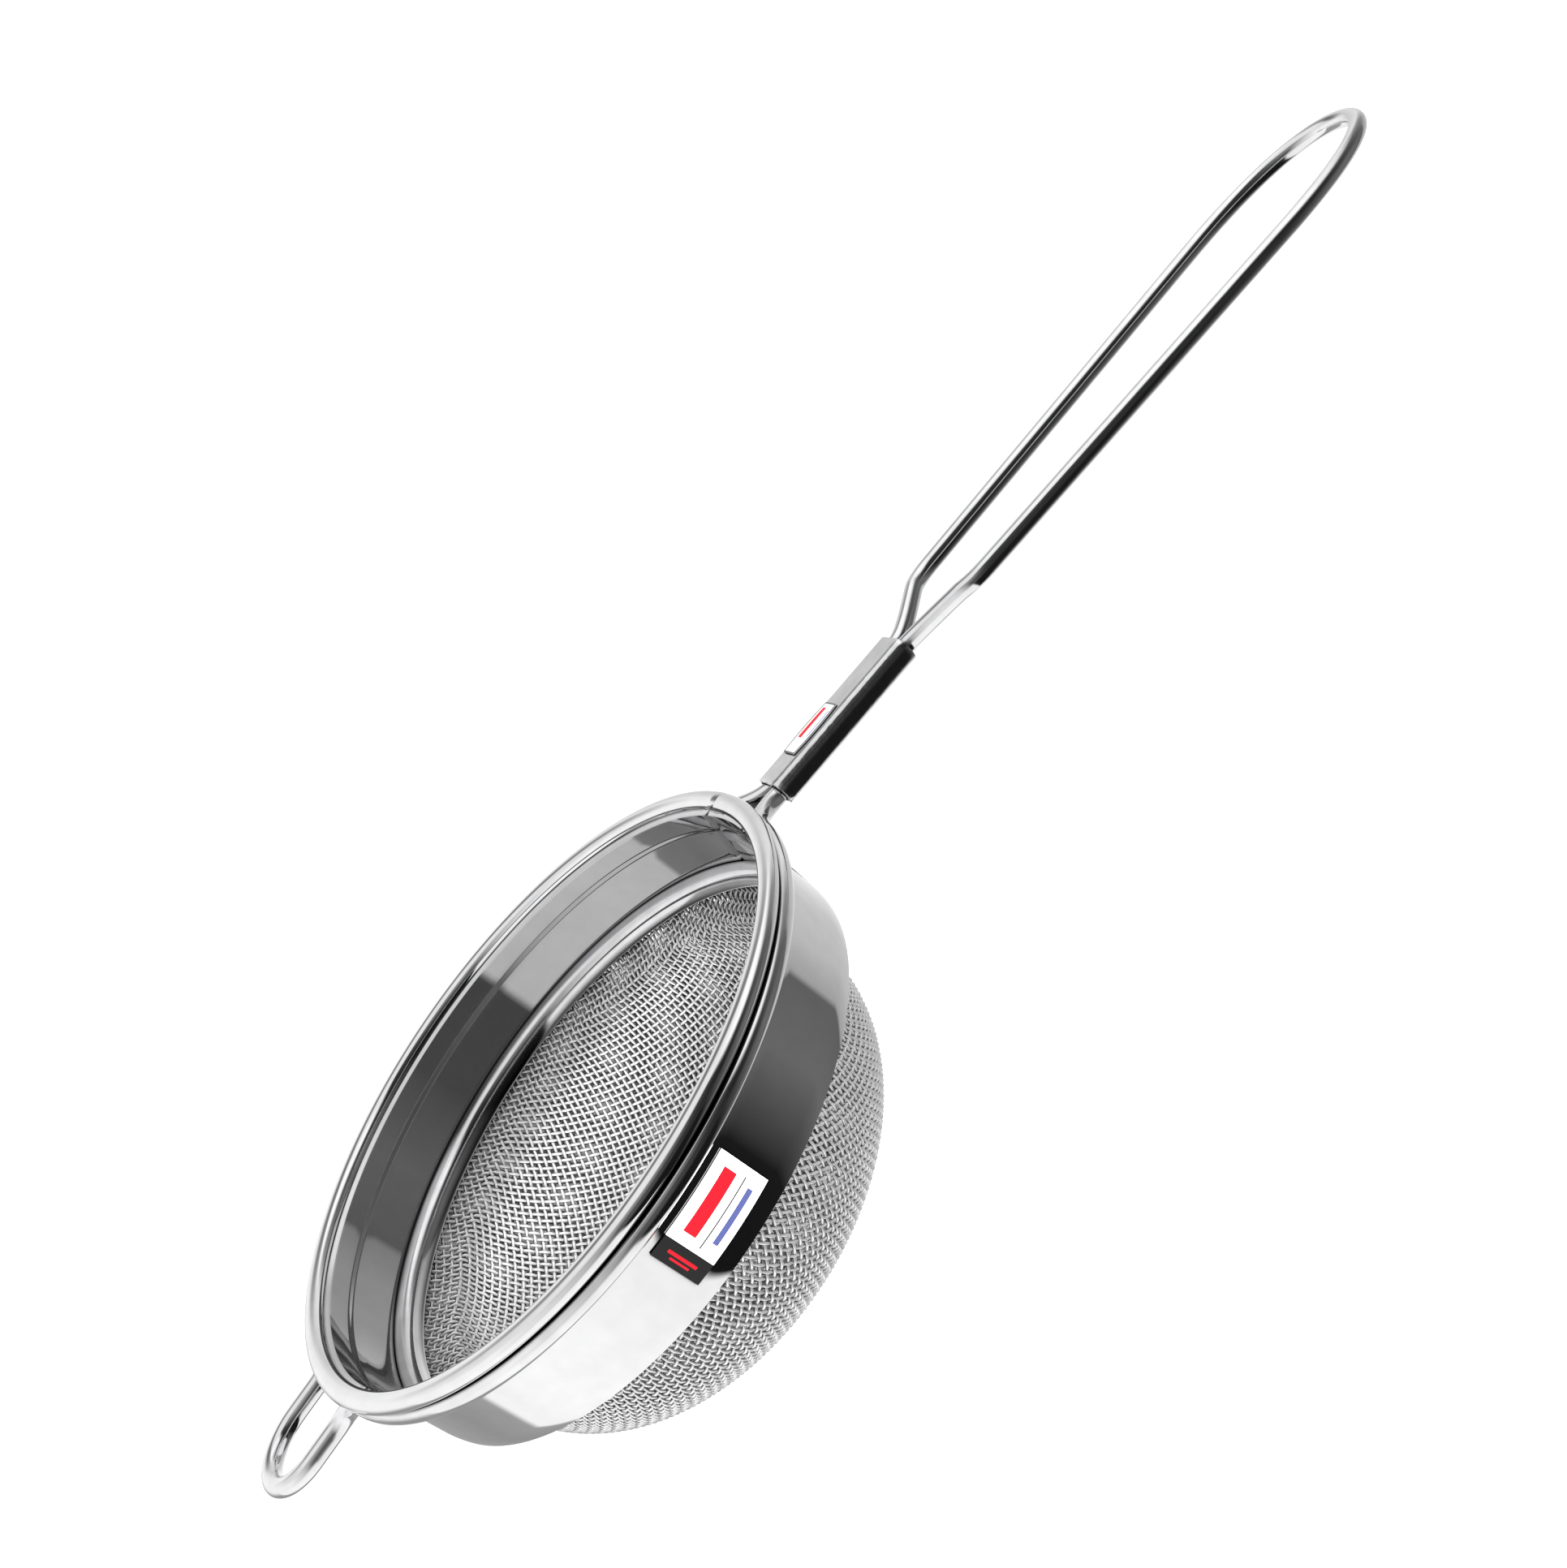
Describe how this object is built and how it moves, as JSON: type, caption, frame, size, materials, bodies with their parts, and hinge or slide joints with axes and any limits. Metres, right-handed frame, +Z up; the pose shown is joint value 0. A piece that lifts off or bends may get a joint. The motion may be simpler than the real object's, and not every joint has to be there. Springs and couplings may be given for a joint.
{
  "type": "tea strainer",
  "caption": "Round tea strainer with a rolled sheet-steel collar, a double woven mesh bowl, a wire rest loop and a long hairpin wire handle held in a flattened sleeve.",
  "frame": {"origin": "middle of the small flat at the lowest point of the mesh bowl", "axes": "+X from the bowl towards the handle's end, +Z up out of the bowl's mouth, +Y to the left seen from the rest loop looking along the handle"},
  "size_m": [0.2567, 0.096, 0.047],
  "materials": {
    "polished_sheet": "mirror-polished stainless sheet with fine forming streaks",
    "polished_wire": "bright drawn stainless wire",
    "sleeve_steel": "folded sheet, lightly brushed along its length",
    "woven_mesh": "plain-weave stainless mesh, two layers, bright wire",
    "blank_label": "blank coated sticker with plain colour bars, no lettering"
  },
  "bodies": {
    "root": {"collar_band": "polished_sheet", "hoop_wire": "polished_wire", "handle_wire": "polished_wire", "handle_sleeve": "sleeve_steel", "mesh_clamp_ring": "polished_sheet", "outer_mesh_bowl": "woven_mesh", "inner_mesh_bowl": "woven_mesh", "collar_label": "blank_label", "sleeve_label": "blank_label"}
  },
  "joints": []
}
